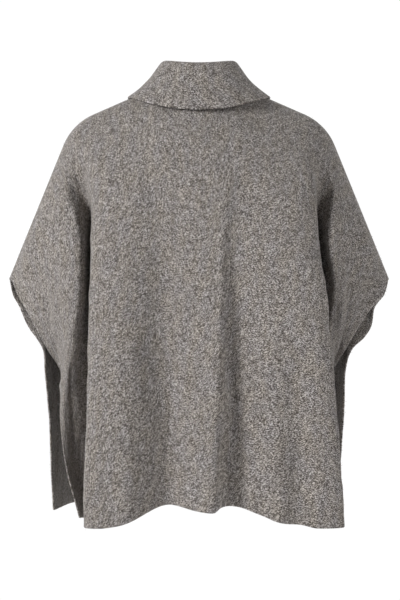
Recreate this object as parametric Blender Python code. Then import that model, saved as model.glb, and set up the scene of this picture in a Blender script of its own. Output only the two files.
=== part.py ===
"""Knitted poncho sweater, worn and hollow.

Metres, +Z up. The wearer faces -Y and the wearer's left is +X. The origin is the
middle of the neck opening, level with the points where the collar meets the shoulders.

Three knitted pieces: a back panel and a front panel, sewn together over the shoulders
and arms and open down both sides, and a fold-over collar tube.
"""
import math

import bpy
from mathutils import Vector

# Cloth
WALL = 0.003             # felted knit, through one layer
SEAM_GAP = 0.0003        # between two pieces where they are sewn

# Neck opening, an oval on the shoulders
NECK_HALF = 0.078
NECK_BACK = 0.058
NECK_FRONT = 0.075
NECK_BACK_DROP = 0.012
NECK_FRONT_DROP = 0.030

# Line over the shoulder and arm: two straight runs joined by a round shoulder
SHOULDER_SLOPE = math.radians(23.7)
ARM_SLOPE = math.radians(67.9)
SHOULDER_RADIUS = 0.100
SHOULDER_CORNER = 0.161  # neck point to where the two straight runs would meet
ARM_RUN = 0.298          # from that corner to the elbow edge

# Rows of cells down a panel. They crowd towards the top, where the cloth turns over
# the shoulder.
PANEL_ROWS = 18
ROW_CROWDING = 1.3
# Columns of cells from one station of a panel to the next
SPAN_COLUMNS = (5, 8, 3, 2, 2, 3)

COLLAR_SEGMENTS = 36

# Where the named stations lie along the shoulder line, by side, from the middle of the neck
STATIONS = {
    # side:    neck       ridge  valley turn   flap
    "left":  (NECK_HALF, 0.217, 0.290, 0.340, 0.430),
    "right": (NECK_HALF, 0.235, 0.300, 0.350, 0.435),
}

# Level sections of each half panel. drop is the way down from the shoulder line to the
# hem, 0 to 1. _x is the distance out from the middle, _y the distance out from the plane
# of the shoulder seams. The ridge is the long fold that falls from the shoulder, the valley
# is the fold tucked in behind it, the turn is where the cloth comes out of the valley, the
# flap is what hangs from the arm, and the edge is the panel's side edge.
SECTION_COLUMNS = ("drop", "centre_y", "neck_y", "ridge_x", "ridge_y", "valley_x", "valley_y",
                   "turn_x", "turn_y", "flap_x", "flap_y", "edge_x", "edge_y")
SECTIONS = {
    ("back", "left"): (
        (0.06, 0.084, 0.064, 0.190, 0.052, 0.228, 0.046, 0.240, 0.058, 0.293, 0.042, 0.3225, 0.020),
        (0.12, 0.105, 0.092, 0.183, 0.080, 0.203, 0.042, 0.222, 0.078, 0.276, 0.058, 0.3070, 0.034),
        (0.20, 0.118, 0.112, 0.180, 0.100, 0.190, 0.034, 0.208, 0.092, 0.260, 0.072, 0.2885, 0.040),
        (0.30, 0.124, 0.122, 0.181, 0.112, 0.185, 0.020, 0.208, 0.100, 0.249, 0.078, 0.2675, 0.028),
        (0.40, 0.126, 0.126, 0.183, 0.120, 0.182, 0.016, 0.210, 0.096, 0.237, 0.068, 0.2465, -0.004),
        (0.60, 0.124, 0.127, 0.187, 0.130, 0.180, 0.014, 0.213, 0.048, 0.233, 0.058, 0.2430, 0.054),
        (0.80, 0.126, 0.128, 0.191, 0.138, 0.176, 0.022, 0.205, 0.040, 0.221, 0.052, 0.2310, 0.074),
        (1.00, 0.130, 0.130, 0.194, 0.145, 0.174, 0.040, 0.190, 0.050, 0.199, 0.056, 0.2085, 0.076),
    ),
    ("back", "right"): (
        (0.06, 0.084, 0.064, 0.195, 0.052, 0.232, 0.044, 0.246, 0.056, 0.295, 0.042, 0.3285, 0.020),
        (0.12, 0.105, 0.092, 0.194, 0.080, 0.213, 0.040, 0.235, 0.078, 0.278, 0.058, 0.3045, 0.034),
        (0.20, 0.118, 0.112, 0.197, 0.100, 0.205, 0.034, 0.228, 0.090, 0.262, 0.070, 0.2820, 0.040),
        (0.30, 0.124, 0.122, 0.203, 0.112, 0.203, 0.020, 0.232, 0.082, 0.250, 0.064, 0.2585, 0.028),
        (0.40, 0.126, 0.126, 0.213, 0.125, 0.200, 0.014, 0.226, 0.058, 0.238, 0.042, 0.2385, -0.008),
        (0.60, 0.124, 0.127, 0.227, 0.134, 0.197, 0.018, 0.210, 0.040, 0.221, 0.030, 0.2260, 0.010),
        (0.80, 0.126, 0.128, 0.238, 0.134, 0.197, 0.034, 0.210, 0.060, 0.220, 0.044, 0.224, 0.026),
        (1.00, 0.130, 0.130, 0.2465, 0.140, 0.196, 0.042, 0.206, 0.056, 0.212, 0.044, 0.216, 0.030),
    ),
    ("front", "left"): (
        (0.06, 0.098, 0.078, 0.195, 0.050, 0.230, 0.046, 0.252, 0.045, 0.296, 0.038, 0.3345, 0.022),
        (0.12, 0.118, 0.106, 0.193, 0.080, 0.212, 0.058, 0.236, 0.056, 0.286, 0.048, 0.3225, 0.032),
        (0.20, 0.136, 0.134, 0.190, 0.105, 0.198, 0.070, 0.222, 0.068, 0.275, 0.058, 0.3085, 0.036),
        (0.30, 0.148, 0.152, 0.192, 0.122, 0.198, 0.080, 0.226, 0.080, 0.266, 0.064, 0.2810, 0.024),
        (0.40, 0.152, 0.156, 0.196, 0.134, 0.202, 0.090, 0.230, 0.090, 0.266, 0.066, 0.275, 0.012),
        (0.60, 0.150, 0.152, 0.202, 0.146, 0.210, 0.106, 0.234, 0.098, 0.258, 0.064, 0.2685, 0.024),
        (0.80, 0.152, 0.152, 0.206, 0.154, 0.217, 0.118, 0.237, 0.101, 0.254, 0.062, 0.2660, 0.028),
        (1.00, 0.156, 0.154, 0.210, 0.160, 0.223, 0.127, 0.239, 0.101, 0.252, 0.062, 0.262, 0.030),
    ),
    ("front", "right"): (
        (0.06, 0.098, 0.078, 0.195, 0.050, 0.230, 0.046, 0.252, 0.045, 0.296, 0.038, 0.3330, 0.022),
        (0.12, 0.118, 0.106, 0.193, 0.080, 0.212, 0.058, 0.236, 0.056, 0.284, 0.048, 0.3160, 0.032),
        (0.20, 0.136, 0.134, 0.190, 0.105, 0.198, 0.070, 0.222, 0.068, 0.274, 0.058, 0.3105, 0.038),
        (0.25, 0.142, 0.143, 0.191, 0.114, 0.198, 0.075, 0.224, 0.074, 0.268, 0.062, 0.2975, 0.034),
        (0.30, 0.148, 0.152, 0.192, 0.122, 0.198, 0.080, 0.226, 0.080, 0.262, 0.066, 0.2760, 0.028),
        (0.40, 0.152, 0.156, 0.196, 0.134, 0.202, 0.090, 0.228, 0.090, 0.255, 0.066, 0.2610, 0.014),
        (0.60, 0.150, 0.152, 0.202, 0.146, 0.210, 0.106, 0.230, 0.098, 0.250, 0.064, 0.2595, 0.024),
        (0.80, 0.152, 0.152, 0.206, 0.154, 0.216, 0.118, 0.230, 0.101, 0.244, 0.062, 0.253, 0.028),
        (1.00, 0.156, 0.154, 0.210, 0.160, 0.221, 0.127, 0.231, 0.101, 0.238, 0.062, 0.245, 0.030),
    ),
}

# Height of the hem, by panel: across the middle, where it is lowest, and at the side edge
HEM = {
    "back": (-0.736, -0.7665, -0.757),
    "front": (-0.728, -0.748, -0.7550),
}
HEM_LEVEL_HALF = 0.050   # the level middle stretch, each way from the centre line
HEM_LOW_FROM = 0.180     # how far out the hem is lowest
HEM_WAVE_SHARE = 0.20    # a wave's hem hangs lower by this share of how far it stands out

# Soft waves between the side folds, deepest at the hem. x is across at the wave's start
# and at the hem, depth is out from the body, and reach is the half width to each side.
WAVE_COLUMNS = ("start_drop", "start_x", "hem_x", "depth", "reach_left", "reach_right")
WAVES = {
    "back": (
        (0.14, 0.056, 0.056, -0.029, 0.064, 0.048),
        (0.18, -0.050, -0.024, 0.022, 0.052, 0.014),
        (0.16, -0.074, -0.050, -0.020, 0.026, 0.064),
        (0.35, -0.120, -0.134, 0.010, 0.030, 0.030),
        (0.45, 0.130, 0.128, 0.006, 0.030, 0.030),
        (0.50, -0.165, -0.176, -0.010, 0.026, 0.030),
    ),
    "front": (
        (0.20, 0.040, 0.052, -0.024, 0.042, 0.038),
        (0.30, -0.012, -0.006, 0.016, 0.034, 0.038),
        (0.22, -0.070, -0.082, -0.028, 0.044, 0.040),
        (0.45, 0.110, 0.128, 0.012, 0.034, 0.034),
        (0.50, -0.130, -0.146, 0.010, 0.034, 0.034),
    ),
}

# The collar's rings, from the neck seam up inside, over the fold and down outside to its
# free edge. Each ring is an oval: half_x to the sides, back_y and front_y to back and front,
# with its height at the side, the back and the front.
COLLAR_COLUMNS = ("half_x", "back_y", "front_y", "side_z", "back_z", "front_z")
COLLAR = (
    (0.0770, 0.0570, 0.0740, 0.0026, -0.0086, -0.0266),
    (0.0705, 0.0545, 0.0670, 0.0180, 0.0090, -0.0060),
    (0.0620, 0.0500, 0.0575, 0.0350, 0.0270, 0.0150),
    (0.0580, 0.0475, 0.0535, 0.0425, 0.0345, 0.0235),
    (0.0588, 0.0483, 0.0545, 0.0455, 0.0375, 0.0265),
    (0.0628, 0.0523, 0.0590, 0.0462, 0.0382, 0.0272),
    (0.0680, 0.0570, 0.0645, 0.0425, 0.0340, 0.0220),
    (0.0765, 0.0635, 0.0740, 0.0310, 0.0195, 0.0055),
    (0.0880, 0.0715, 0.0865, 0.0155, -0.0015, -0.0185),
    (0.1055, 0.0810, 0.1015, -0.0020, -0.0230, -0.0420),
    (0.1260, 0.0918, 0.1178, -0.0170, -0.0462, -0.0652),
)

# Felted wool: a matt warm grey
WOOL_COLOUR = (0.200, 0.181, 0.170, 1.0)
WOOL_ROUGHNESS = 0.95

SHOULDER_TURN = ARM_SLOPE - SHOULDER_SLOPE
SHOULDER_TANGENT = SHOULDER_RADIUS * math.tan(SHOULDER_TURN / 2)
SHOULDER_STRAIGHT = SHOULDER_CORNER - SHOULDER_TANGENT
SHOULDER_ARC = SHOULDER_RADIUS * SHOULDER_TURN
ARM_STRAIGHT = ARM_RUN - SHOULDER_TANGENT
PANEL_HALF = NECK_HALF + SHOULDER_STRAIGHT + SHOULDER_ARC + ARM_STRAIGHT


def remove_everything():
    for old in list(bpy.data.objects):
        bpy.data.objects.remove(old, do_unlink=True)


def smoothstep(low, high, value):
    """0 below low, 1 above high, and a smooth ramp between."""
    share = min(max((value - low) / (high - low), 0.0), 1.0)
    return share * share * (3.0 - 2.0 * share)


def curve_through(knots, values, at):
    """A smooth curve through the values at the rising knots (cubic, Catmull-Rom slopes)."""
    last = len(knots) - 1
    span = 0
    while span < last - 1 and at > knots[span + 1]:
        span += 1

    def slope(knot):
        before = max(knot - 1, 0)
        after = min(knot + 1, last)
        return (values[after] - values[before]) / (knots[after] - knots[before])

    width = knots[span + 1] - knots[span]
    u = (at - knots[span]) / width
    keep = 2 * u ** 3 - 3 * u ** 2 + 1
    leave = u ** 3 - 2 * u ** 2 + u
    arrive = u ** 3 - u ** 2
    return (keep * values[span] + (1 - keep) * values[span + 1]
            + width * (leave * slope(span) + arrive * slope(span + 1)))


def top_line(panel, along):
    """The panel's top edge: half the neck oval, then over the shoulder and down the arm."""
    if along <= NECK_HALF:
        angle = math.pi / 2 * along / NECK_HALF
        depth, drop = (NECK_BACK, NECK_BACK_DROP) if panel == "back" else (NECK_FRONT, NECK_FRONT_DROP)
        return NECK_HALF * math.sin(angle), depth * math.cos(angle), -drop * math.cos(angle) ** 2
    run = along - NECK_HALF
    x = NECK_HALF + min(run, SHOULDER_STRAIGHT) * math.cos(SHOULDER_SLOPE)
    z = -min(run, SHOULDER_STRAIGHT) * math.sin(SHOULDER_SLOPE)
    run -= SHOULDER_STRAIGHT
    if run > 0:
        turned = SHOULDER_SLOPE + min(run, SHOULDER_ARC) / SHOULDER_RADIUS
        x += SHOULDER_RADIUS * (math.sin(turned) - math.sin(SHOULDER_SLOPE))
        z -= SHOULDER_RADIUS * (math.cos(SHOULDER_SLOPE) - math.cos(turned))
    run -= SHOULDER_ARC
    if run > 0:
        x += run * math.cos(ARM_SLOPE)
        z -= run * math.sin(ARM_SLOPE)
    return x, 0.0, z


def hem_height(panel, along):
    middle, low, edge = HEM[panel]
    fallen = smoothstep(HEM_LEVEL_HALF, HEM_LOW_FROM, along)
    return middle + (low - middle) * fallen + (edge - low) * smoothstep(HEM_LOW_FROM, PANEL_HALF, along)


def wave_depth(panel, x, drop):
    """How far the waves push the cloth out at x across the panel."""
    depth = 0.0
    for values in WAVES[panel]:
        wave = dict(zip(WAVE_COLUMNS, values))
        grown = smoothstep(wave["start_drop"], 1.0, drop) ** 0.7
        middle = wave["start_x"] + (wave["hem_x"] - wave["start_x"]) * drop
        reach = wave["reach_left"] if x > middle else wave["reach_right"]
        away = min(abs(x - middle) / reach, 1.0)
        depth += wave["depth"] * grown * math.cos(away * math.pi / 2) ** 2
    return depth


def waved(panel, x, y, z, drop):
    """A point of the panel moved by the waves."""
    depth = wave_depth(panel, x, drop)
    return x, y + depth, z - depth * HEM_WAVE_SHARE * drop


def section_row(panel, side, row):
    """One row of the section table as x and y at each station, from the middle outwards."""
    cut = dict(zip(SECTION_COLUMNS, SECTIONS[panel, side][row]))
    neck_x = cut["ridge_x"] * STATIONS[side][0] / STATIONS[side][1]
    places = ("ridge", "valley", "turn", "flap", "edge")
    xs = (0.0, neck_x, *(cut[place + "_x"] for place in places))
    ys = (cut["centre_y"], cut["neck_y"], *(cut[place + "_y"] for place in places))
    return cut["drop"], xs, ys


def panel_point(panel, side, along, drop):
    """Middle of the cloth at a place on half a panel. x and y are distances outwards."""
    stations = (0.0, *STATIONS[side], PANEL_HALF)
    top_x, top_y, top_z = top_line(panel, along)
    hem_z = hem_height(panel, along)
    drops, xs, ys = [0.0], [top_x], [top_y]
    for row in range(len(SECTIONS[panel, side])):
        row_drop, row_xs, row_ys = section_row(panel, side, row)
        drops.append(math.sqrt(row_drop))
        # the middle of the panel mirrors, so its curve starts level
        mirrored = (-stations[1], *stations)
        xs.append(curve_through(mirrored, (-row_xs[1], *row_xs), along))
        ys.append(curve_through(mirrored, (row_ys[1], *row_ys), along))
    # the square root makes the cloth leave the shoulder line level and turn down round it
    x = curve_through(drops, xs, math.sqrt(drop))
    y = curve_through(drops, ys, math.sqrt(drop))
    z = top_z + (hem_z - top_z) * drop
    return x, y, z


def panel_grid(panel):
    """Rows of points across the whole panel, from its right edge to its left."""
    rows = []
    for row in range(PANEL_ROWS + 1):
        drop = (row / PANEL_ROWS) ** ROW_CROWDING
        halves = {}
        for side, sign in (("left", 1.0), ("right", -1.0)):
            stations = (0.0, *STATIONS[side], PANEL_HALF)
            points = []
            for span, columns in enumerate(SPAN_COLUMNS):
                for column in range(columns):
                    along = stations[span] + (stations[span + 1] - stations[span]) * column / columns
                    points.append(panel_point(panel, side, along, drop))
            points.append(panel_point(panel, side, PANEL_HALF, drop))
            halves[side] = [waved(panel, sign * x, y, z, drop) for x, y, z in points]
        across = halves["right"][:0:-1] + halves["left"]
        facing = 1.0 if panel == "back" else -1.0
        rows.append([Vector((x, facing * y, z)) for x, y, z in across])
    return rows


def normals_of(rows, closed):
    """Unit normals at the points of a grid, from their neighbours."""
    count = len(rows[0])
    result = []
    for index, row in enumerate(rows):
        above = rows[max(index - 1, 0)]
        below = rows[min(index + 1, len(rows) - 1)]
        line = []
        for column in range(count):
            if closed:
                before, after = row[column - 1], row[(column + 1) % count]
            else:
                before, after = row[max(column - 1, 0)], row[min(column + 1, count - 1)]
            line.append((after - before).cross(below[column] - above[column]).normalized())
        result.append(line)
    return result


def wall_object(name, rows, closed, least_y=None):
    """A closed wall of the cloth's thickness on a grid of its middle points.

    least_y, signed, keeps a panel on its own side of the seam plane.
    """
    normals = normals_of(rows, closed)
    count = len(rows[0])
    points = []
    for half in (WALL / 2, -WALL / 2):
        for row, line in zip(rows, normals):
            for point, normal in zip(row, line):
                moved = point + normal * half
                if least_y is not None and moved.y * math.copysign(1.0, least_y) < abs(least_y):
                    moved.y = least_y
                points.append(moved)

    def index(layer, row, column):
        return (layer * len(rows) + row) * count + column % count

    faces = []
    across = count if closed else count - 1
    last_row = len(rows) - 1
    for column in range(across):
        for row in range(last_row):
            corners = ((row, column), (row, column + 1), (row + 1, column + 1), (row + 1, column))
            faces.append([index(0, *corner) for corner in corners])
            faces.append([index(1, *corner) for corner in reversed(corners)])
        faces.append([index(0, 0, column + 1), index(0, 0, column),
                      index(1, 0, column), index(1, 0, column + 1)])
        faces.append([index(0, last_row, column), index(0, last_row, column + 1),
                      index(1, last_row, column + 1), index(1, last_row, column)])
    if not closed:
        for row in range(last_row):
            faces.append([index(0, row, 0), index(0, row + 1, 0), index(1, row + 1, 0), index(1, row, 0)])
            faces.append([index(0, row + 1, count - 1), index(0, row, count - 1),
                          index(1, row, count - 1), index(1, row + 1, count - 1)])
    mesh = bpy.data.meshes.new(name)
    mesh.from_pydata(points, [], faces)
    mesh.update()
    made = bpy.data.objects.new(name, mesh)
    bpy.context.scene.collection.objects.link(made)
    mesh.shade_smooth()
    mesh.set_sharp_from_angle(angle=math.radians(50))
    return made


def wool_material(name):
    made = bpy.data.materials.new(name)
    made.use_nodes = True
    shader = made.node_tree.nodes["Principled BSDF"]
    shader.inputs["Base Color"].default_value = WOOL_COLOUR
    shader.inputs["Roughness"].default_value = WOOL_ROUGHNESS
    shader.inputs["Metallic"].default_value = 0.0
    made.diffuse_color = WOOL_COLOUR
    return made


def make_panel(panel):
    facing = 1.0 if panel == "back" else -1.0
    rows = panel_grid(panel)
    if panel == "front":
        rows = [list(reversed(row)) for row in rows]
    return wall_object(panel + "_panel", rows, closed=False, least_y=facing * SEAM_GAP / 2)


def make_collar():
    rows = []
    for ring in COLLAR:
        size = dict(zip(COLLAR_COLUMNS, ring))
        row = []
        for segment in range(COLLAR_SEGMENTS):
            angle = 2 * math.pi * segment / COLLAR_SEGMENTS
            towards = math.sin(angle)
            depth, end_z = ((size["back_y"], size["back_z"]) if towards > 0
                            else (size["front_y"], size["front_z"]))
            z = size["side_z"] + (end_z - size["side_z"]) * towards ** 2
            row.append(Vector((size["half_x"] * math.cos(angle), depth * towards, z)))
        rows.append(row)
    return wall_object("collar", rows, closed=True)


def build():
    remove_everything()
    wool = wool_material("grey felted wool knit")
    for made in (make_panel("back"), make_panel("front"), make_collar()):
        made.data.materials.append(wool)


build()
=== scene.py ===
"""The looks of a knitted poncho sweater, worn and hollow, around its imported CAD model.

Each CAD panel is replaced by a fine shell of the same form. The form's sizes repeat the
part's own; the creases, the rolled edges and the felt's loose fibres are added here.
Metres, +Z up, the wearer's front towards -Y and the wearer's left at +X. The camera
stands behind the wearer.
"""
import math

import bmesh
import bpy
import numpy as np
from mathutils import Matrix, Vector


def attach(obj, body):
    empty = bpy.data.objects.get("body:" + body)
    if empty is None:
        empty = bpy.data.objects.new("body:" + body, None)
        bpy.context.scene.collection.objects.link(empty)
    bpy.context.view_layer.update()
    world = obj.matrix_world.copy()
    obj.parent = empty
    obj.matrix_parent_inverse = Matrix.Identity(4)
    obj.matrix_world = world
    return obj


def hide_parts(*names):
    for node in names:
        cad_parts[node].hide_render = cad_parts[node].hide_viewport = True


# ---------------------------------------------------------------- the part's form

WALL = 0.003
SEAM_GAP = 0.0003

NECK_HALF = 0.078
NECK_BACK = 0.058
NECK_FRONT = 0.075
NECK_BACK_DROP = 0.012
NECK_FRONT_DROP = 0.030

SHOULDER_SLOPE = math.radians(23.7)
ARM_SLOPE = math.radians(67.9)
SHOULDER_RADIUS = 0.100
SHOULDER_CORNER = 0.161
ARM_RUN = 0.298

STATIONS = {
    # side:    neck       ridge  valley turn   flap
    "left":  (NECK_HALF, 0.217, 0.290, 0.340, 0.430),
    "right": (NECK_HALF, 0.235, 0.300, 0.350, 0.435),
}

# Level sections of each half panel; drop is the way down from the shoulder line, 0 to 1
SECTION_COLUMNS = ("drop", "centre_y", "neck_y", "ridge_x", "ridge_y", "valley_x", "valley_y",
                   "turn_x", "turn_y", "flap_x", "flap_y", "edge_x", "edge_y")
SECTIONS = {
    ("back", "left"): (
        (0.06, 0.084, 0.064, 0.190, 0.052, 0.228, 0.046, 0.240, 0.058, 0.293, 0.042, 0.3225, 0.020),
        (0.12, 0.105, 0.092, 0.183, 0.080, 0.203, 0.042, 0.222, 0.078, 0.276, 0.058, 0.3070, 0.034),
        (0.20, 0.118, 0.112, 0.180, 0.100, 0.190, 0.034, 0.208, 0.092, 0.260, 0.072, 0.2885, 0.040),
        (0.30, 0.124, 0.122, 0.181, 0.112, 0.185, 0.020, 0.208, 0.100, 0.249, 0.078, 0.2675, 0.028),
        (0.40, 0.126, 0.126, 0.183, 0.120, 0.182, 0.016, 0.210, 0.096, 0.237, 0.068, 0.2465, -0.004),
        (0.60, 0.124, 0.127, 0.187, 0.130, 0.180, 0.014, 0.213, 0.048, 0.233, 0.058, 0.2430, 0.054),
        (0.80, 0.126, 0.128, 0.191, 0.138, 0.176, 0.022, 0.205, 0.040, 0.221, 0.052, 0.2310, 0.074),
        (1.00, 0.130, 0.130, 0.194, 0.145, 0.174, 0.040, 0.190, 0.050, 0.199, 0.056, 0.2085, 0.076),
    ),
    ("back", "right"): (
        (0.06, 0.084, 0.064, 0.195, 0.052, 0.232, 0.044, 0.246, 0.056, 0.295, 0.042, 0.3285, 0.020),
        (0.12, 0.105, 0.092, 0.194, 0.080, 0.213, 0.040, 0.235, 0.078, 0.278, 0.058, 0.3045, 0.034),
        (0.20, 0.118, 0.112, 0.197, 0.100, 0.205, 0.034, 0.228, 0.090, 0.262, 0.070, 0.2820, 0.040),
        (0.30, 0.124, 0.122, 0.203, 0.112, 0.203, 0.020, 0.232, 0.082, 0.250, 0.064, 0.2585, 0.028),
        (0.40, 0.126, 0.126, 0.213, 0.125, 0.200, 0.014, 0.226, 0.058, 0.238, 0.042, 0.2385, -0.008),
        (0.60, 0.124, 0.127, 0.227, 0.134, 0.197, 0.018, 0.210, 0.040, 0.221, 0.030, 0.2260, 0.010),
        (0.80, 0.126, 0.128, 0.238, 0.134, 0.197, 0.034, 0.210, 0.060, 0.220, 0.044, 0.224, 0.026),
        (1.00, 0.130, 0.130, 0.2465, 0.140, 0.196, 0.042, 0.206, 0.056, 0.212, 0.044, 0.216, 0.030),
    ),
    ("front", "left"): (
        (0.06, 0.098, 0.078, 0.195, 0.050, 0.230, 0.046, 0.252, 0.045, 0.296, 0.038, 0.3345, 0.022),
        (0.12, 0.118, 0.106, 0.193, 0.080, 0.212, 0.058, 0.236, 0.056, 0.286, 0.048, 0.3225, 0.032),
        (0.20, 0.136, 0.134, 0.190, 0.105, 0.198, 0.070, 0.222, 0.068, 0.275, 0.058, 0.3085, 0.036),
        (0.30, 0.148, 0.152, 0.192, 0.122, 0.198, 0.080, 0.226, 0.080, 0.266, 0.064, 0.2810, 0.024),
        (0.40, 0.152, 0.156, 0.196, 0.134, 0.202, 0.090, 0.230, 0.090, 0.266, 0.066, 0.275, 0.012),
        (0.60, 0.150, 0.152, 0.202, 0.146, 0.210, 0.106, 0.234, 0.098, 0.258, 0.064, 0.2685, 0.024),
        (0.80, 0.152, 0.152, 0.206, 0.154, 0.217, 0.118, 0.237, 0.101, 0.254, 0.062, 0.2660, 0.028),
        (1.00, 0.156, 0.154, 0.210, 0.160, 0.223, 0.127, 0.239, 0.101, 0.252, 0.062, 0.262, 0.030),
    ),
    ("front", "right"): (
        (0.06, 0.098, 0.078, 0.195, 0.050, 0.230, 0.046, 0.252, 0.045, 0.296, 0.038, 0.3330, 0.022),
        (0.12, 0.118, 0.106, 0.193, 0.080, 0.212, 0.058, 0.236, 0.056, 0.284, 0.048, 0.3160, 0.032),
        (0.20, 0.136, 0.134, 0.190, 0.105, 0.198, 0.070, 0.222, 0.068, 0.274, 0.058, 0.3105, 0.038),
        (0.25, 0.142, 0.143, 0.191, 0.114, 0.198, 0.075, 0.224, 0.074, 0.268, 0.062, 0.2975, 0.034),
        (0.30, 0.148, 0.152, 0.192, 0.122, 0.198, 0.080, 0.226, 0.080, 0.262, 0.066, 0.2760, 0.028),
        (0.40, 0.152, 0.156, 0.196, 0.134, 0.202, 0.090, 0.228, 0.090, 0.255, 0.066, 0.2610, 0.014),
        (0.60, 0.150, 0.152, 0.202, 0.146, 0.210, 0.106, 0.230, 0.098, 0.250, 0.064, 0.2595, 0.024),
        (0.80, 0.152, 0.152, 0.206, 0.154, 0.216, 0.118, 0.230, 0.101, 0.244, 0.062, 0.253, 0.028),
        (1.00, 0.156, 0.154, 0.210, 0.160, 0.221, 0.127, 0.231, 0.101, 0.238, 0.062, 0.245, 0.030),
    ),
}

# Height of the hem: across the middle, where it is lowest, and at the side edge
HEM = {
    "back": (-0.736, -0.7665, -0.757),
    "front": (-0.728, -0.748, -0.7550),
}
HEM_LEVEL_HALF = 0.050
HEM_LOW_FROM = 0.180
HEM_WAVE_SHARE = 0.20

# Soft waves between the side folds, deepest at the hem
WAVE_COLUMNS = ("start_drop", "start_x", "hem_x", "depth", "reach_left", "reach_right")
WAVES = {
    "back": (
        (0.14, 0.056, 0.056, -0.029, 0.064, 0.048),
        (0.18, -0.050, -0.024, 0.022, 0.052, 0.014),
        (0.16, -0.074, -0.050, -0.020, 0.026, 0.064),
        (0.35, -0.120, -0.134, 0.010, 0.030, 0.030),
        (0.45, 0.130, 0.128, 0.006, 0.030, 0.030),
        (0.50, -0.165, -0.176, -0.010, 0.026, 0.030),
    ),
    "front": (
        (0.20, 0.040, 0.052, -0.024, 0.042, 0.038),
        (0.30, -0.012, -0.006, 0.016, 0.034, 0.038),
        (0.22, -0.070, -0.082, -0.028, 0.044, 0.040),
        (0.45, 0.110, 0.128, 0.012, 0.034, 0.034),
        (0.50, -0.130, -0.146, 0.010, 0.034, 0.034),
    ),
}

# Oval rings, from the neck seam up inside, over the fold and down outside to the free edge
COLLAR_COLUMNS = ("half_x", "back_y", "front_y", "side_z", "back_z", "front_z")
COLLAR = (
    (0.0770, 0.0570, 0.0740, 0.0026, -0.0086, -0.0266),
    (0.0705, 0.0545, 0.0670, 0.0180, 0.0090, -0.0060),
    (0.0620, 0.0500, 0.0575, 0.0350, 0.0270, 0.0150),
    (0.0580, 0.0475, 0.0535, 0.0425, 0.0345, 0.0235),
    (0.0588, 0.0483, 0.0545, 0.0455, 0.0375, 0.0265),
    (0.0628, 0.0523, 0.0590, 0.0462, 0.0382, 0.0272),
    (0.0680, 0.0570, 0.0645, 0.0425, 0.0340, 0.0220),
    (0.0765, 0.0635, 0.0740, 0.0310, 0.0195, 0.0055),
    (0.0880, 0.0715, 0.0865, 0.0155, -0.0015, -0.0185),
    (0.1055, 0.0810, 0.1015, -0.0020, -0.0230, -0.0420),
    (0.1260, 0.0918, 0.1178, -0.0170, -0.0462, -0.0652),
)

SHOULDER_TURN = ARM_SLOPE - SHOULDER_SLOPE
SHOULDER_TANGENT = SHOULDER_RADIUS * math.tan(SHOULDER_TURN / 2)
SHOULDER_STRAIGHT = SHOULDER_CORNER - SHOULDER_TANGENT
SHOULDER_ARC = SHOULDER_RADIUS * SHOULDER_TURN
ARM_STRAIGHT = ARM_RUN - SHOULDER_TANGENT
PANEL_HALF = NECK_HALF + SHOULDER_STRAIGHT + SHOULDER_ARC + ARM_STRAIGHT

# ---------------------------------------------------------------- the fine cloth

PANEL_COLUMNS = 250      # cells across a panel
PANEL_ROWS = 168         # cells down it
ROW_CROWDING = 1.15
COLLAR_SEGMENTS = 280
COLLAR_RINGS = 96
COLLAR_ROUND = 0.56      # metres of pattern once round the collar
CREASE_LENGTH = 0.70     # metres of cloth from shoulder to hem, to measure the creases evenly

# Listed creases: soft troughs (depth below 0) and ridges. A crease runs from its start
# to its end on the cloth, in metres across (the wearer's left is positive) and as a share of
# the way from the shoulder line to the hem; half_width is across the crease.
CREASE_COLUMNS = ("from_across", "from_drop", "to_across", "to_drop", "depth", "half_width")
CREASES = {
    "back": (
        (0.190, 0.120, 0.060, 0.250, -0.0024, 0.022),
        (0.215, 0.200, 0.120, 0.380, -0.0018, 0.018),
        (-0.200, 0.110, -0.075, 0.220, -0.0026, 0.024),
        (-0.225, 0.230, -0.130, 0.400, -0.0016, 0.016),
        (0.030, 0.060, -0.060, 0.120, -0.0014, 0.018),
        (0.150, 0.520, 0.100, 0.960, 0.0026, 0.020),
        (-0.100, 0.560, -0.104, 1.000, 0.0022, 0.016),
        (0.360, 0.150, 0.352, 0.520, 0.0036, 0.020),
        (0.312, 0.150, 0.312, 0.800, -0.0040, 0.014),
        (-0.350, 0.160, -0.352, 0.560, 0.0030, 0.014),
        (-0.318, 0.120, -0.320, 0.700, -0.0040, 0.012),
        (-0.032, 0.620, -0.017, 1.250, 0.0030, 0.009),
        (-0.054, 0.640, -0.040, 1.250, -0.0030, 0.010),
        (0.380, 0.120, 0.420, 0.420, 0.0030, 0.024),
        (0.450, 0.200, 0.500, 0.360, -0.0026, 0.016),
        (0.440, 0.420, 0.520, 0.400, -0.0030, 0.012),
        (0.460, 0.520, 0.525, 0.470, 0.0026, 0.012),
        (0.380, 0.500, 0.430, 0.900, -0.0024, 0.018),
        (-0.390, 0.140, -0.430, 0.440, 0.0028, 0.022),
        (-0.450, 0.220, -0.500, 0.380, -0.0024, 0.016),
        (-0.430, 0.420, -0.520, 0.390, -0.0026, 0.012),
    ),
    "front": (
        (0.160, 0.100, 0.070, 0.260, -0.0026, 0.022),
        (-0.170, 0.110, -0.080, 0.240, -0.0022, 0.020),
        (0.210, 0.240, 0.140, 0.420, -0.0020, 0.016),
        (-0.200, 0.220, -0.120, 0.380, -0.0024, 0.018),
        (0.020, 0.080, 0.090, 0.150, -0.0014, 0.016),
        (-0.040, 0.460, -0.030, 0.980, 0.0024, 0.020),
        (0.090, 0.600, 0.100, 1.000, -0.0020, 0.016),
        (0.390, 0.150, 0.430, 0.460, 0.0030, 0.022),
        (-0.400, 0.130, -0.440, 0.430, 0.0026, 0.020),
        (0.440, 0.440, 0.520, 0.400, -0.0028, 0.012),
        (-0.450, 0.430, -0.520, 0.400, -0.0024, 0.012),
    ),
}
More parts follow.
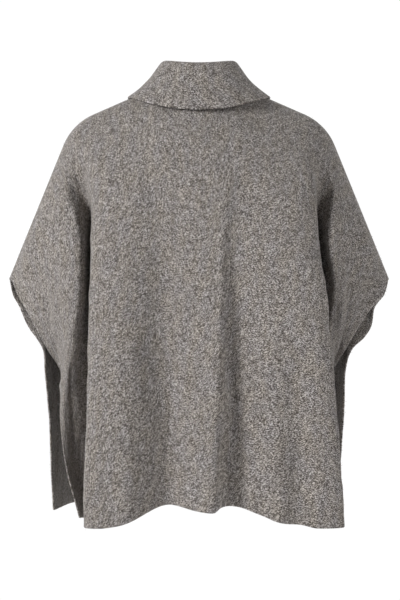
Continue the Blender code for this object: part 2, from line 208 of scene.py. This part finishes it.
# The slow unevenness of soft felt: amplitude and size of its swells
SWELLS = ((0.0016, 0.110), (0.0009, 0.052), (0.0004, 0.021))

# Loose fibres of the felt's nap, in metres
PANEL_FIBRES = 34000
COLLAR_FIBRES = 7000
FIBRE_LENGTH = (0.0025, 0.0070)
FIBRE_WIDTH = 0.00026
FIBRE_RISE = 0.60        # share of its length that the longest stands off the cloth
SEED = 20

# ---------------------------------------------------------------- colours

WOOL_DARK = (0.050, 0.042, 0.036, 1.0)
WOOL_MIDDLE = (0.184, 0.167, 0.155, 1.0)
WOOL_LIGHT = (0.530, 0.503, 0.482, 1.0)
WOOL_STEPS = (0.435, 0.52, 0.610)   # where in the mixed pattern each of them stands
WARM_YARN = (1.03, 1.0, 0.952, 1.0)
COOL_YARN = (0.99, 0.99, 1.02, 1.0)
WISP_WIDTH = 0.045       # of a wisp, as a step of the noise that draws it
FLOOR_DARK = (0.78, 0.78, 0.78, 1.0)
FLOOR_COLOUR = (0.82, 0.82, 0.82, 1.0)

# ---------------------------------------------------------------- camera and studio

CAMERA_PLACE = (-0.0017, 3.32, -0.378)
CAMERA_LENS = 111.6      # millimetres, on a 36 mm sensor's long side
FLOOR_Z = -1.45
FLOOR_HALF = 3.0
ROOM_BEHIND = 1.02       # brightness of the room behind the garment
ROOM_FRONT = 0.10        # and behind the camera
LIGHTS = (
    # name, place, aimed at, width, height, watts
    ("key", (2.6, 2.1, 0.6), (0.0, 0.0, -0.40), 1.1, 1.1, 114.0),
    ("fill", (-2.6, 1.9, 0.4), (0.0, 0.0, -0.40), 1.0, 1.4, 40.0),
)


def smoothstep(low, high, value):
    share = np.clip((value - low) / (high - low), 0.0, 1.0)
    return share * share * (3.0 - 2.0 * share)


def spline_weights(knots, at):
    """Weights of the knots' values at each place, for a smooth curve through them."""
    knots = np.asarray(knots, float)
    at = np.asarray(at, float)
    last = len(knots) - 1
    span = np.clip(np.searchsorted(knots, at) - 1, 0, last - 1)
    width = knots[span + 1] - knots[span]
    u = (at - knots[span]) / width
    keep = 2 * u ** 3 - 3 * u ** 2 + 1
    leave = (u ** 3 - 2 * u ** 2 + u) * width
    arrive = (u ** 3 - u ** 2) * width
    weights = np.zeros((len(at), last + 1))
    place = np.arange(len(at))
    np.add.at(weights, (place, span), keep)
    np.add.at(weights, (place, span + 1), 1 - keep)
    for knot, share in ((span, leave), (span + 1, arrive)):
        before = np.maximum(knot - 1, 0)
        after = np.minimum(knot + 1, last)
        slope = share / (knots[after] - knots[before])
        np.add.at(weights, (place, after), slope)
        np.add.at(weights, (place, before), -slope)
    return weights


def top_line(panel, along):
    """The panel's top edge: half the neck oval, then over the shoulder and down the arm."""
    depth, drop = (NECK_BACK, NECK_BACK_DROP) if panel == "back" else (NECK_FRONT, NECK_FRONT_DROP)
    angle = math.pi / 2 * np.minimum(along, NECK_HALF) / NECK_HALF
    x = NECK_HALF * np.sin(angle)
    y = depth * np.cos(angle)
    z = -drop * np.cos(angle) ** 2
    run = np.clip(along - NECK_HALF, 0, SHOULDER_STRAIGHT)
    x = x + run * math.cos(SHOULDER_SLOPE)
    z = z - run * math.sin(SHOULDER_SLOPE)
    run = np.clip(along - NECK_HALF - SHOULDER_STRAIGHT, 0, SHOULDER_ARC)
    turned = SHOULDER_SLOPE + run / SHOULDER_RADIUS
    x = x + SHOULDER_RADIUS * (np.sin(turned) - math.sin(SHOULDER_SLOPE))
    z = z - SHOULDER_RADIUS * (math.cos(SHOULDER_SLOPE) - np.cos(turned))
    run = np.maximum(along - NECK_HALF - SHOULDER_STRAIGHT - SHOULDER_ARC, 0)
    return x + run * math.cos(ARM_SLOPE), np.where(along < NECK_HALF, y, 0.0), z - run * math.sin(ARM_SLOPE)


def half_panel(panel, side, along, drop):
    """Middle points of half a panel's cloth, rows down by columns outwards."""
    table = np.array(SECTIONS[panel, side])
    cut = {name: table[:, column] for column, name in enumerate(SECTION_COLUMNS)}
    neck_x = cut["ridge_x"] * STATIONS[side][0] / STATIONS[side][1]
    places = ("ridge", "valley", "turn", "flap", "edge")
    row_x = np.stack([0 * neck_x, neck_x, *(cut[place + "_x"] for place in places)], axis=1)
    row_y = np.stack([cut["centre_y"], cut["neck_y"], *(cut[place + "_y"] for place in places)], axis=1)
    stations = np.array((0.0, *STATIONS[side], PANEL_HALF))
    # the middle of the panel mirrors, so its curve starts level
    weights = spline_weights((-stations[1], *stations), along)
    section_x = np.column_stack([-row_x[:, 1], row_x]) @ weights.T
    section_y = np.column_stack([row_y[:, 1], row_y]) @ weights.T
    top_x, top_y, top_z = top_line(panel, along)
    knots = np.sqrt(np.concatenate([[0.0], cut["drop"]]))
    down = spline_weights(knots, np.sqrt(drop))
    x = down @ np.vstack([top_x, section_x])
    y = down @ np.vstack([top_y, section_y])
    middle, low, edge = HEM[panel]
    fallen = smoothstep(HEM_LEVEL_HALF, HEM_LOW_FROM, along)
    hem_z = middle + (low - middle) * fallen + (edge - low) * smoothstep(HEM_LOW_FROM, PANEL_HALF, along)
    z = top_z + (hem_z - top_z) * drop[:, None]
    return x, y, z


def wave_depth(panel, x, drop):
    depth = np.zeros_like(x)
    for values in WAVES[panel]:
        wave = dict(zip(WAVE_COLUMNS, values))
        grown = smoothstep(wave["start_drop"], 1.0, drop) ** 0.7
        middle = wave["start_x"] + (wave["hem_x"] - wave["start_x"]) * drop
        reach = np.where(x > middle, wave["reach_left"], wave["reach_right"])
        away = np.clip(np.abs(x - middle) / reach, 0, 1)
        depth += wave["depth"] * grown * np.cos(away * math.pi / 2) ** 2
    return depth


def crease_depth(panel, across, drop):
    """The listed creases' depth at each point of the cloth."""
    depth = np.zeros_like(across)
    down = drop * CREASE_LENGTH
    for values in CREASES[panel]:
        crease = dict(zip(CREASE_COLUMNS, values))
        start = np.array((crease["from_across"], crease["from_drop"] * CREASE_LENGTH))
        run = np.array((crease["to_across"], crease["to_drop"] * CREASE_LENGTH)) - start
        size = np.hypot(*run)
        direction = run / size
        along = (across - start[0]) * direction[0] + (down - start[1]) * direction[1]
        aside = -(across - start[0]) * direction[1] + (down - start[1]) * direction[0]
        # a crease is deepest a third of the way along, and bows a little
        share = along / size
        bow = 0.06 * size * np.sin(np.clip(share, 0, 1) * math.pi)
        fade = smoothstep(-0.25, 0.35, share) * (1 - smoothstep(0.45, 1.2, share))
        depth += crease["depth"] * fade * np.exp(-((aside - bow) / crease["half_width"]) ** 2)
    return depth


def swell(across, down, phase):
    """Slow uneven swells, the same each run: a few crossing waves of each size."""
    depth = np.zeros_like(across)
    for step, (amplitude, size) in enumerate(SWELLS):
        for turn in range(3):
            angle = 0.7 + 1.3 * turn + 0.9 * step + phase
            wave = 2 * math.pi / (size * (1 + 0.23 * turn))
            lean = across * math.cos(angle) + down * math.sin(angle)
            bend = 0.35 * np.sin(wave * 0.37 * (across * math.sin(angle) - down * math.cos(angle)) + turn)
            depth += amplitude / 3 * np.sin(wave * lean + 2.1 * turn + phase + bend * 3)
    return depth


def grid_normals(points, closed):
    """Unit normals of a grid of points, rows by columns."""
    if closed:
        across = np.roll(points, -1, axis=1) - np.roll(points, 1, axis=1)
    else:
        across = np.gradient(points, axis=1)
    down = np.gradient(points, axis=0)
    normals = np.cross(across, down)
    return normals / np.maximum(np.linalg.norm(normals, axis=2, keepdims=True), 1e-12)


def panel_surface(panel):
    """Middle points, normals and cloth coordinates of a whole panel's fine grid."""
    share = np.linspace(0, 1, PANEL_COLUMNS // 2 + 1)
    along = PANEL_HALF * share
    drop = np.linspace(0, 1, PANEL_ROWS + 1) ** ROW_CROWDING
    facing = 1.0 if panel == "back" else -1.0
    parts = {}
    for side, sign in (("left", 1.0), ("right", -1.0)):
        x, y, z = half_panel(panel, side, along, drop)
        x = x * sign
        depth = wave_depth(panel, x, drop[:, None])
        parts[side] = (x, y + depth, z - depth * HEM_WAVE_SHARE * drop[:, None])
    x, y, z = (np.concatenate([parts["right"][axis][:, :0:-1], parts["left"][axis]], axis=1)
               for axis in range(3))
    across = np.concatenate([-along[:0:-1], along])[None, :] + 0 * x
    points = np.stack([x, facing * y, z], axis=2)
    if panel == "front":
        points, across = points[:, ::-1], across[:, ::-1]
    normals = grid_normals(points, closed=False)
    # distance down the cloth, for the creases and the knit's pattern
    steps = np.linalg.norm(np.diff(points, axis=0), axis=2)
    down = np.vstack([np.zeros((1, points.shape[1])), np.cumsum(steps, axis=0)])
    fine = crease_depth(panel, across, drop[:, None] + 0 * across)
    fine += swell(across, down, 0.0 if panel == "back" else 1.9)
    # the seamed top and the side edges stay where the pieces meet
    held = smoothstep(0.0, 0.05, drop)[:, None]
    held = held * (1 - 0.7 * smoothstep(0.93, 1.0, np.abs(across) / PANEL_HALF))
    points = points + normals * (fine * held)[:, :, None]
    return points, grid_normals(points, closed=False), np.stack([across, down, 0 * down], axis=2)


def collar_surface():
    table = np.array(COLLAR)
    ring_share = np.linspace(0, 1, COLLAR_RINGS + 1)
    # rings crowd where the fold is tight, because the table's rings do
    weights = spline_weights(np.arange(len(table)), ring_share * (len(table) - 1))
    size = dict(zip(COLLAR_COLUMNS, (weights @ table).T[:, :, None]))
    angle = (2 * math.pi * np.arange(COLLAR_SEGMENTS) / COLLAR_SEGMENTS)[None, :]
    towards = np.sin(angle)
    depth = np.where(towards > 0, size["back_y"], size["front_y"])
    end_z = np.where(towards > 0, size["back_z"], size["front_z"])
    x = size["half_x"] * np.cos(angle)
    z = size["side_z"] + (end_z - size["side_z"]) * towards ** 2
    points = np.stack([x, depth * towards, z], axis=2)
    normals = grid_normals(points, closed=True)
    steps = np.linalg.norm(np.diff(points, axis=0), axis=2)
    down = np.vstack([np.zeros((1, points.shape[1])), np.cumsum(steps, axis=0)])
    across = COLLAR_ROUND * angle / (2 * math.pi) + 0 * x
    fine = 0.5 * swell(np.sin(angle) * 0.09 + 0 * x, down + 0.09 * np.cos(angle), 3.3)
    free = smoothstep(0.55, 0.8, ring_share)[:, None] * (1 - smoothstep(0.9, 1.0, ring_share))[:, None]
    points = points + normals * (fine * free)[:, :, None]
    return points, grid_normals(points, closed=True), np.stack([across, down, 0 * down], axis=2)


def wall_mesh(points, normals, cloth, closed, least_y=None):
    """A closed wall of the cloth's thickness on its middle points, with rounded raw edges."""
    rows, columns = points.shape[:2]
    half = WALL / 2
    layers = [points + normals * half, points - normals * half]
    if least_y is not None:
        facing = math.copysign(1.0, least_y)
        for layer in layers:
            layer[:, :, 1] = facing * np.maximum(layer[:, :, 1] * facing, abs(least_y))
    vertices = [layer.reshape(-1, 3) for layer in layers]
    coordinates = [cloth.reshape(-1, 3), cloth.reshape(-1, 3)]
    index = np.arange(rows * columns).reshape(rows, columns)
    inner = index + rows * columns

    def quads(a, b, c, d):
        return np.stack([a, b, c, d], axis=-1).reshape(-1, 4)

    if closed:
        ring = np.concatenate([index, index[:, :1]], axis=1)
        inner_ring = np.concatenate([inner, inner[:, :1]], axis=1)
    else:
        ring, inner_ring = index, inner
    faces = [
        quads(ring[:-1, :-1], ring[:-1, 1:], ring[1:, 1:], ring[1:, :-1]),
        quads(inner_ring[:-1, :-1], inner_ring[1:, :-1], inner_ring[1:, 1:], inner_ring[:-1, 1:]),
    ]
    made = 2 * rows * columns

    def rim(outer_line, inner_line, edge_points, outward, edge_cloth, flip, loop, round_edge):
        """Closes one edge between the two layers, with a rounded lip where it is raw."""
        nonlocal made
        if round_edge:
            tip = edge_points + outward * half
            if least_y is not None:
                tip[:, 1] = facing * np.maximum(tip[:, 1] * facing, abs(least_y))
            vertices.append(tip)
            coordinates.append(edge_cloth)
            tips = made + np.arange(len(tip))
            made += len(tip)
            lines = (outer_line, tips, inner_line)
        else:
            lines = (outer_line, inner_line)
        for one, other in zip(lines[:-1], lines[1:]):
            if loop:
                one, other = np.append(one, one[0]), np.append(other, other[0])
            if flip:
                faces.append(quads(one[:-1], other[:-1], other[1:], one[1:]))
            else:
                faces.append(quads(one[:-1], one[1:], other[1:], other[:-1]))

    def unit(vectors):
        return vectors / np.maximum(np.linalg.norm(vectors, axis=1, keepdims=True), 1e-12)

    rim(index[0], inner[0], points[0], unit(points[0] - points[1]), cloth[0], True, closed, False)
    rim(index[-1], inner[-1], points[-1], unit(points[-1] - points[-2]), cloth[-1], False, closed, True)
    if not closed:
        rim(index[:, 0], inner[:, 0], points[:, 0], unit(points[:, 0] - points[:, 1]), cloth[:, 0],
            False, False, True)
        rim(index[:, -1], inner[:, -1], points[:, -1], unit(points[:, -1] - points[:, -2]), cloth[:, -1],
            True, False, True)
    return vertices, coordinates, faces


def make_mesh(name, vertices, coordinates, faces):
    mesh = bpy.data.meshes.new(name)
    corner = np.concatenate(vertices)
    quads = np.concatenate(faces)
    mesh.vertices.add(len(corner))
    mesh.vertices.foreach_set("co", corner.astype(np.float32).ravel())
    mesh.loops.add(quads.size)
    mesh.loops.foreach_set("vertex_index", quads.astype(np.int32).ravel())
    mesh.polygons.add(len(quads))
    mesh.polygons.foreach_set("loop_start", np.arange(0, quads.size, 4, dtype=np.int32))
    mesh.update(calc_edges=True)
    cloth = mesh.attributes.new("cloth", "FLOAT_VECTOR", "POINT")
    cloth.data.foreach_set("vector", np.concatenate(coordinates).astype(np.float32).ravel())
    mesh.validate()
    mesh.shade_smooth()
    made = bpy.data.objects.new(name, mesh)
    bpy.context.scene.collection.objects.link(made)
    return made


def close_holes(made):
    """Fills the small gaps that the rounded lips leave at a panel's corners."""
    work = bmesh.new()
    work.from_mesh(made.data)
    open_edges = [edge for edge in work.edges if edge.is_boundary]
    if open_edges:
        bmesh.ops.holes_fill(work, edges=open_edges, sides=8)
    bmesh.ops.recalc_face_normals(work, faces=work.faces)
    work.to_mesh(made.data)
    work.free()


def fibre_mesh(name, points, normals, count, seed):
    """Loose fibres of the nap: short bent ribbons on the outer face, each of two cells."""
    random = np.random.default_rng(seed)
    rows, columns = points.shape[:2]
    row = random.uniform(0, rows - 1.001, count)
    column = random.uniform(0, columns - 1.001, count)
    r, c = row.astype(int), column.astype(int)
    a, b = (row - r)[:, None], (column - c)[:, None]

    def blend(values):
        return ((1 - a) * (1 - b) * values[r, c] + a * (1 - b) * values[r + 1, c]
                + (1 - a) * b * values[r, c + 1] + a * b * values[r + 1, c + 1])

    root = blend(points)
    normal = blend(normals)
    normal /= np.linalg.norm(normal, axis=1, keepdims=True)
    root = root + normal * (WALL / 2 - 0.0003)
    lie = np.cross(normal, random.normal(size=(count, 3)))
    lie /= np.linalg.norm(lie, axis=1, keepdims=True)
    length = random.uniform(*FIBRE_LENGTH, count)[:, None]
    rise = FIBRE_RISE * random.uniform(0.1, 1.0, count)[:, None] ** 1.6
    aside = np.cross(normal, lie)
    curl = random.uniform(-0.5, 0.5, count)[:, None]
    middle = root + lie * length * 0.5 + normal * length * rise * 0.7 + aside * length * curl * 0.3
    tip = root + lie * length * (0.95 - 0.3 * rise) + normal * length * rise + aside * length * curl
    half = aside * FIBRE_WIDTH / 2
    corner = np.stack([root - half, root + half, middle + half * 0.8, middle - half * 0.8,
                       tip + half * 0.25, tip - half * 0.25], axis=1).reshape(-1, 3)
    base = 6 * np.arange(count)[:, None]
    quads = np.concatenate([base + np.array([[0, 1, 2, 3]]), base + np.array([[3, 2, 4, 5]])])
    shade = np.repeat(random.uniform(0, 1, (count, 3)), 6, axis=0)
    return make_mesh(name, [corner], [shade], [quads])


def node_tree(material):
    material.use_nodes = True
    nodes = material.node_tree.nodes
    return nodes, material.node_tree.links, nodes["Principled BSDF"]


def wool_material():
    made = bpy.data.materials.new("heathered felted wool")
    nodes, links, shader = node_tree(made)

    def node(kind, **settings):
        new = nodes.new(kind)
        for name, value in settings.items():
            setattr(new, name, value)
        return new

    def math_node(operation, first, second):
        new = node("ShaderNodeMath", operation=operation)
        for socket, value in zip(new.inputs, (first, second)):
            if isinstance(value, (int, float)):
                socket.default_value = value
            else:
                links.new(value, socket)
        return new.outputs[0]

    def noise(vector, scale, detail, rough=0.5, bent=0.0):
        new = node("ShaderNodeTexNoise", noise_dimensions="3D")
        new.inputs["Distortion"].default_value = bent
        new.inputs["Scale"].default_value = scale
        new.inputs["Detail"].default_value = detail
        new.inputs["Roughness"].default_value = rough
        links.new(vector, new.inputs["Vector"])
        return new.outputs["Fac"]

    cloth = node("ShaderNodeAttribute", attribute_name="cloth")
    place = node("ShaderNodeTexCoord").outputs["Object"]

    def stretched(turn, thin):
        """Cloth coordinates in which a pattern's features lie along a slant, this much thinner than long."""
        new = node("ShaderNodeMapping", vector_type="TEXTURE")
        new.inputs["Rotation"].default_value = (0, 0, turn)
        new.inputs["Scale"].default_value = (1.0, 1.0 / thin, 1.0)
        links.new(cloth.outputs["Vector"], new.inputs["Vector"])
        return new.outputs["Vector"]

    # fibres lie in short streaks, some along the courses and some slanting each way
    courses = noise(stretched(0.30, 2.2), 340.0, 1.0, 0.55, 0.8)
    slanting = noise(stretched(0.75, 3.0), 270.0, 1.0, 0.55, 0.4)
    specks = noise(place, 560.0, 1.0)
    patches = noise(stretched(0.90, 1.6), 75.0, 3.0, 0.6)
    mixed = math_node("MULTIPLY", courses, 0.40)
    for source, share in ((slanting, 0.40), (specks, 0.20)):
        mixed = math_node("ADD", mixed, math_node("MULTIPLY", source, share))
    # thin curved wisps, some pale and some in the dark between fibres
    for vector, scale, share in ((stretched(0.65, 2.1), 150.0, 0.100),
                                 (stretched(-0.30, 1.8), 175.0, 0.070),
                                 (stretched(0.45, 1.7), 185.0, -0.100)):
        contour = node("ShaderNodeMath", operation="ABSOLUTE")
        links.new(math_node("SUBTRACT", noise(vector, scale, 0.0), 0.5), contour.inputs[0])
        away = math_node("DIVIDE", contour.outputs[0], WISP_WIDTH)
        wisp = math_node("MAXIMUM", math_node("SUBTRACT", 1.0, away), 0.0)
        mixed = math_node("ADD", mixed, math_node("MULTIPLY", wisp, share))
    mixed = math_node("ADD", mixed, math_node("MULTIPLY", math_node("SUBTRACT", patches, 0.5), 0.18))

    ramp = node("ShaderNodeValToRGB")
    ramp.color_ramp.elements[0].position = WOOL_STEPS[0]
    ramp.color_ramp.elements[0].color = WOOL_DARK
    ramp.color_ramp.elements[1].position = WOOL_STEPS[2]
    ramp.color_ramp.elements[1].color = WOOL_LIGHT
    middle = ramp.color_ramp.elements.new(WOOL_STEPS[1])
    middle.color = WOOL_MIDDLE
    links.new(mixed, ramp.inputs["Fac"])

    # warm and cool threads are blended in the yarn
    tint_share = noise(stretched(1.45, 2.5), 22.0, 2.0)
    tint = node("ShaderNodeMix", data_type="RGBA", blend_type="MULTIPLY")
    tint.inputs[0].default_value = 1.0
    tones = node("ShaderNodeValToRGB")
    tones.color_ramp.elements[0].position = 0.35
    tones.color_ramp.elements[0].color = WARM_YARN
    tones.color_ramp.elements[1].position = 0.65
    tones.color_ramp.elements[1].color = COOL_YARN
    links.new(tint_share, tones.inputs["Fac"])
    links.new(ramp.outputs["Color"], tint.inputs[6])
    links.new(tones.outputs["Color"], tint.inputs[7])
    links.new(tint.outputs[2], shader.inputs["Base Color"])

    bump = node("ShaderNodeBump")
    bump.inputs["Strength"].default_value = 0.55
    bump.inputs["Distance"].default_value = 0.0012
    links.new(mixed, bump.inputs["Height"])
    links.new(bump.outputs["Normal"], shader.inputs["Normal"])

    shader.inputs["Roughness"].default_value = 0.95
    shader.inputs["Specular IOR Level"].default_value = 0.15
    shader.inputs["Sheen Weight"].default_value = 0.25
    shader.inputs["Sheen Roughness"].default_value = 0.55
    shader.inputs["Sheen Tint"].default_value = (0.86, 0.83, 0.80, 1.0)
    return made


def fibre_material():
    made = bpy.data.materials.new("loose wool fibres")
    nodes, links, shader = node_tree(made)
    shade = nodes.new("ShaderNodeAttribute")
    shade.attribute_name = "cloth"
    split = nodes.new("ShaderNodeSeparateXYZ")
    links.new(shade.outputs["Vector"], split.inputs["Vector"])
    ramp = nodes.new("ShaderNodeValToRGB")
    ramp.color_ramp.elements[0].position = 0.0
    ramp.color_ramp.elements[0].color = WOOL_DARK
    ramp.color_ramp.elements[1].position = 1.0
    ramp.color_ramp.elements[1].color = WOOL_LIGHT
    middle = ramp.color_ramp.elements.new(0.45)
    middle.color = WOOL_MIDDLE
    links.new(split.outputs["X"], ramp.inputs["Fac"])
    links.new(ramp.outputs["Color"], shader.inputs["Base Color"])
    shader.inputs["Roughness"].default_value = 0.8
    shader.inputs["Specular IOR Level"].default_value = 0.2
    return made


def stage_material():
    made = bpy.data.materials.new("pale studio floor")
    nodes, links, shader = node_tree(made)
    grain = nodes.new("ShaderNodeTexNoise")
    grain.inputs["Scale"].default_value = 3.0
    ramp = nodes.new("ShaderNodeValToRGB")
    ramp.color_ramp.elements[0].color = FLOOR_DARK
    ramp.color_ramp.elements[1].color = FLOOR_COLOUR
    links.new(grain.outputs["Fac"], ramp.inputs["Fac"])
    links.new(ramp.outputs["Color"], shader.inputs["Base Color"])
    shader.inputs["Roughness"].default_value = 0.9
    return made


def studio():
    """A pale floor, two soft boxes and a bright room."""
    mesh = bpy.data.meshes.new("floor")
    half = FLOOR_HALF
    mesh.from_pydata([(half, half, FLOOR_Z), (-half, half, FLOOR_Z), (-half, -half, FLOOR_Z),
                      (half, -half, FLOOR_Z)], [], [(0, 1, 2, 3)])
    mesh.materials.append(stage_material())
    floor = bpy.data.objects.new("floor", mesh)
    bpy.context.scene.collection.objects.link(floor)

    # the room is white behind the garment and dark behind the camera
    world = bpy.data.worlds.new("studio")
    bpy.context.scene.world = world
    world.use_nodes = True
    nodes, links = world.node_tree.nodes, world.node_tree.links
    background = nodes["Background"]
    place = nodes.new("ShaderNodeTexCoord")
    split = nodes.new("ShaderNodeSeparateXYZ")
    ramp = nodes.new("ShaderNodeMapRange")
    ramp.inputs["From Min"].default_value = -0.75
    ramp.inputs["From Max"].default_value = 0.15
    ramp.inputs["To Min"].default_value = ROOM_BEHIND
    ramp.inputs["To Max"].default_value = ROOM_FRONT
    links.new(place.outputs["Generated"], split.inputs["Vector"])
    links.new(split.outputs["Y"], ramp.inputs["Value"])
    links.new(ramp.outputs["Result"], background.inputs["Strength"])
    background.inputs["Color"].default_value = (1.0, 1.0, 1.0, 1.0)

    for name, place, target, width, height, power in LIGHTS:
        light = bpy.data.lights.new(name, "AREA")
        light.shape = "RECTANGLE"
        light.size = width
        light.size_y = height
        light.energy = power
        lamp = bpy.data.objects.new(name, light)
        lamp.location = place
        lamp.rotation_euler = (Vector(target) - Vector(place)).to_track_quat("-Z", "Y").to_euler()
        bpy.context.scene.collection.objects.link(lamp)


def camera():
    data = bpy.data.cameras.new("camera")
    data.sensor_fit = "VERTICAL"
    data.sensor_height = 36.0
    data.lens = CAMERA_LENS
    made = bpy.data.objects.new("camera", data)
    made.location = CAMERA_PLACE
    made.rotation_euler = (math.pi / 2, 0.0, math.pi)
    bpy.context.scene.collection.objects.link(made)
    bpy.context.scene.camera = made


def dress(piece, material, replaced=None):
    """Gives a piece its material and its body, and takes a CAD node's place."""
    piece.data.materials.append(material)
    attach(piece, "root")
    if replaced:
        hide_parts(replaced)


def garment():
    wool = wool_material()
    loose = fibre_material()
    for number, panel in enumerate(("back", "front")):
        seam_y = SEAM_GAP / 2 if panel == "back" else -SEAM_GAP / 2
        points, normals, cloth = panel_surface(panel)
        shell = make_mesh(panel + "_cloth", *wall_mesh(points, normals, cloth, False, seam_y))
        close_holes(shell)
        dress(shell, wool, panel + "_panel")
        dress(fibre_mesh(panel + "_nap", points, normals, PANEL_FIBRES, SEED + number), loose)
    points, normals, cloth = collar_surface()
    shell = make_mesh("collar_cloth", *wall_mesh(points, normals, cloth, True))
    close_holes(shell)
    dress(shell, wool, "collar")
    dress(fibre_mesh("collar_nap", points, normals, COLLAR_FIBRES, SEED + 2), loose)


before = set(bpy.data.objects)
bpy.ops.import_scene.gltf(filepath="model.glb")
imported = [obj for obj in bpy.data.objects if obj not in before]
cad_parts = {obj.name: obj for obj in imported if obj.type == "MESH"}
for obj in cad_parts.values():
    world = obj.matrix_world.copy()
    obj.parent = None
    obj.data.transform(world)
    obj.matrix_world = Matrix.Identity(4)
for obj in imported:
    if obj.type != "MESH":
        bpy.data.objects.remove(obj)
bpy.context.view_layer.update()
bpy.context.scene.view_settings.view_transform = "Standard"
camera()
studio()
garment()
